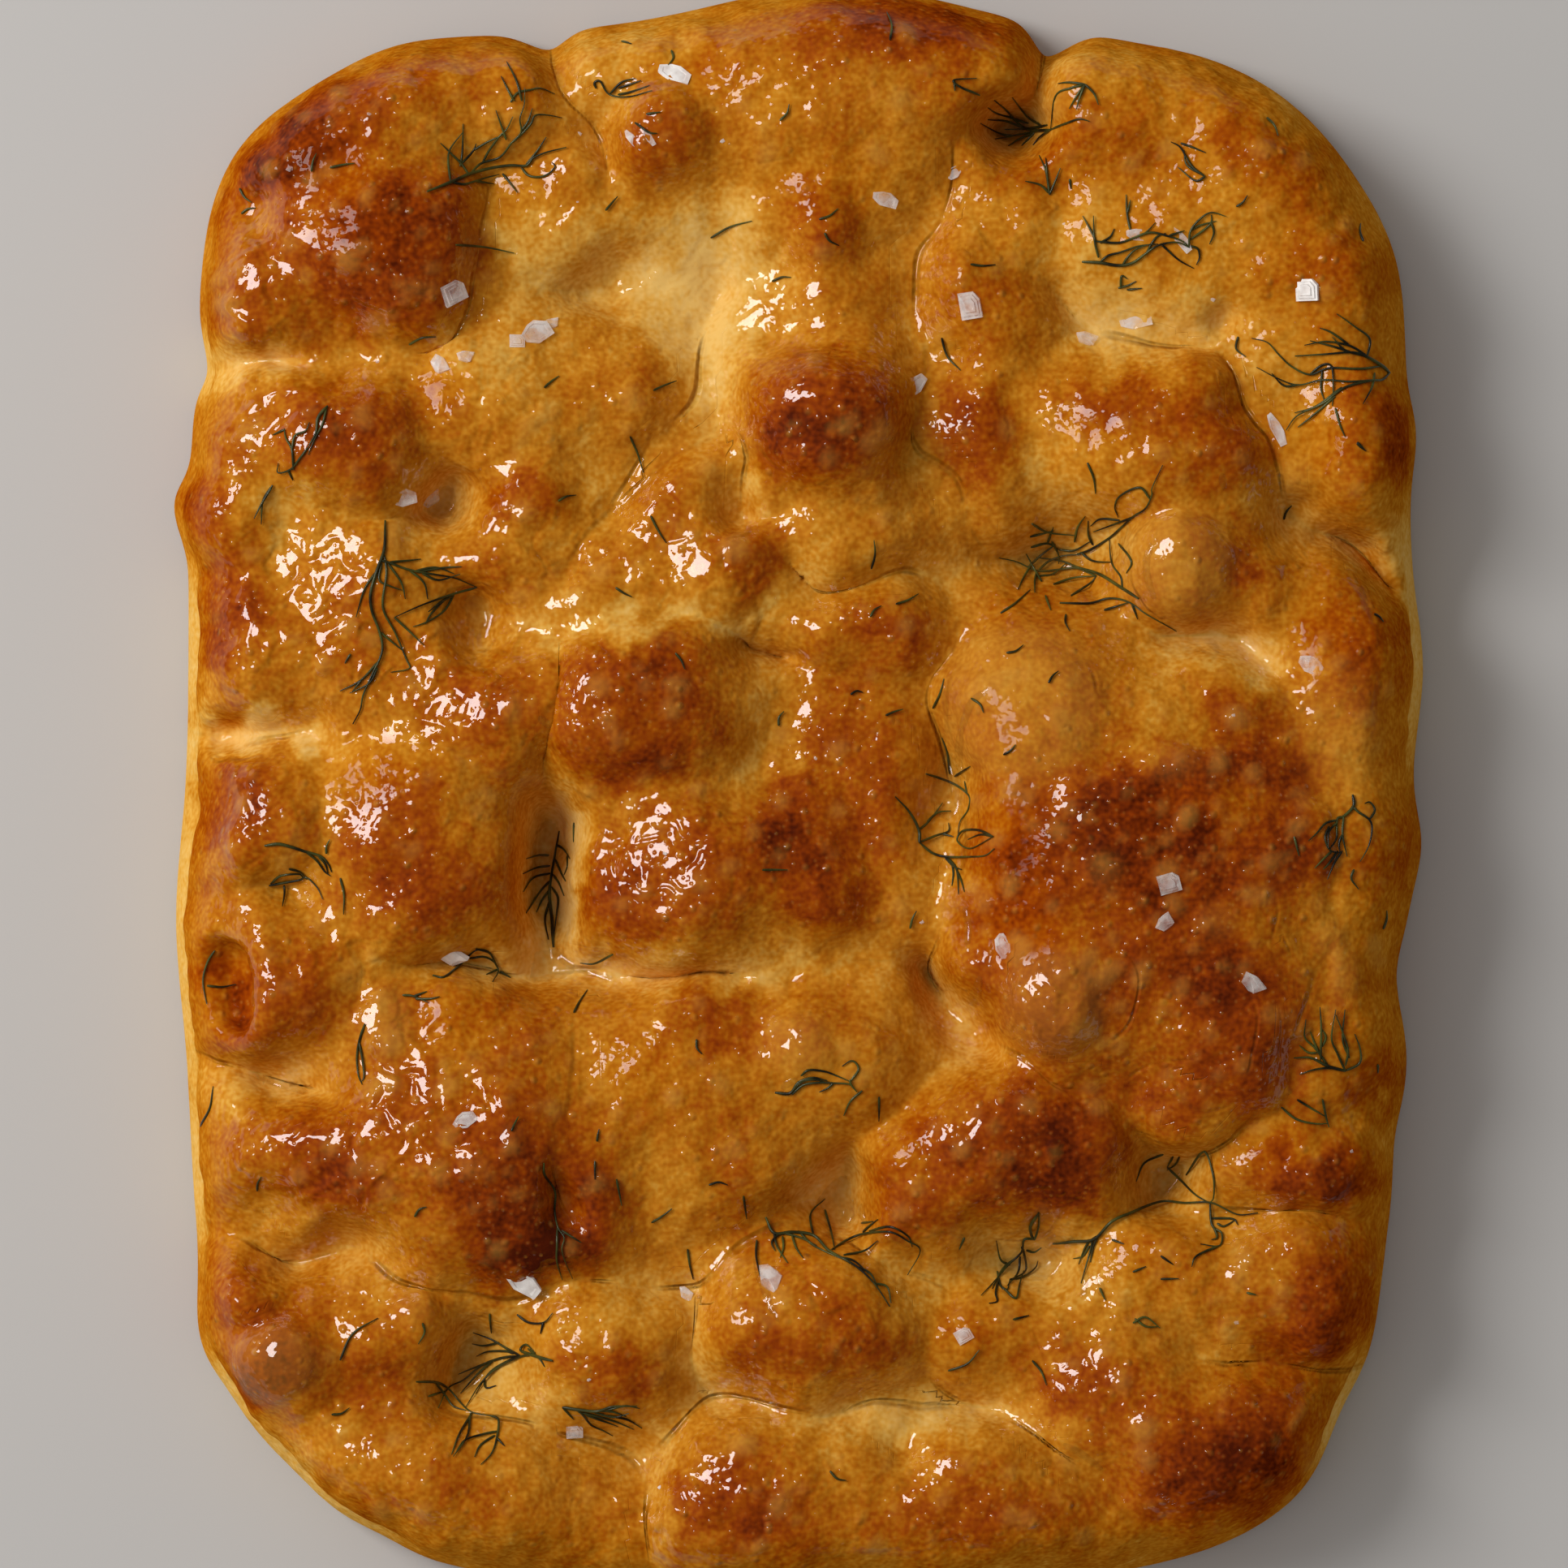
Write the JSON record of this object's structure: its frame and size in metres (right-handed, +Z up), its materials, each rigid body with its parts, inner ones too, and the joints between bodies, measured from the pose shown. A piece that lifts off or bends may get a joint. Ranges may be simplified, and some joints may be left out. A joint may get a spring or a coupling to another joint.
{
  "type": "focaccia",
  "caption": "Whole focaccia loaf, dimpled and browned, dressed with dill sprigs, flaky salt and oil. Rests on its flat underside.",
  "frame": {"origin": "middle of the flat underside", "axes": "+X across the loaf to the right, +Y along the loaf to its far end, +Z up"},
  "size_m": [0.1992, 0.2566, 0.0424],
  "materials": {
    "crust": "browned, oiled bread crust, golden to red-brown with pale blisters",
    "dill": "baked dark green dill, slightly oily",
    "salt": "translucent white salt flakes",
    "oil": "clear golden oil"
  },
  "bodies": {
    "root": {"focaccia": "crust", "dill_sprig_01": "dill", "dill_sprig_02": "dill", "dill_sprig_03": "dill", "dill_sprig_04": "dill", "dill_sprig_05": "dill", "dill_sprig_06": "dill", "dill_sprig_07": "dill", "dill_sprig_08": "dill", "dill_sprig_09": "dill", "dill_sprig_10": "dill", "dill_sprig_11": "dill", "dill_sprig_12": "dill", "dill_sprig_13": "dill", "dill_sprig_14": "dill", "dill_sprig_15": "dill", "dill_sprig_16": "dill", "dill_sprig_17": "dill", "dill_sprig_18": "dill"}
  },
  "joints": []
}
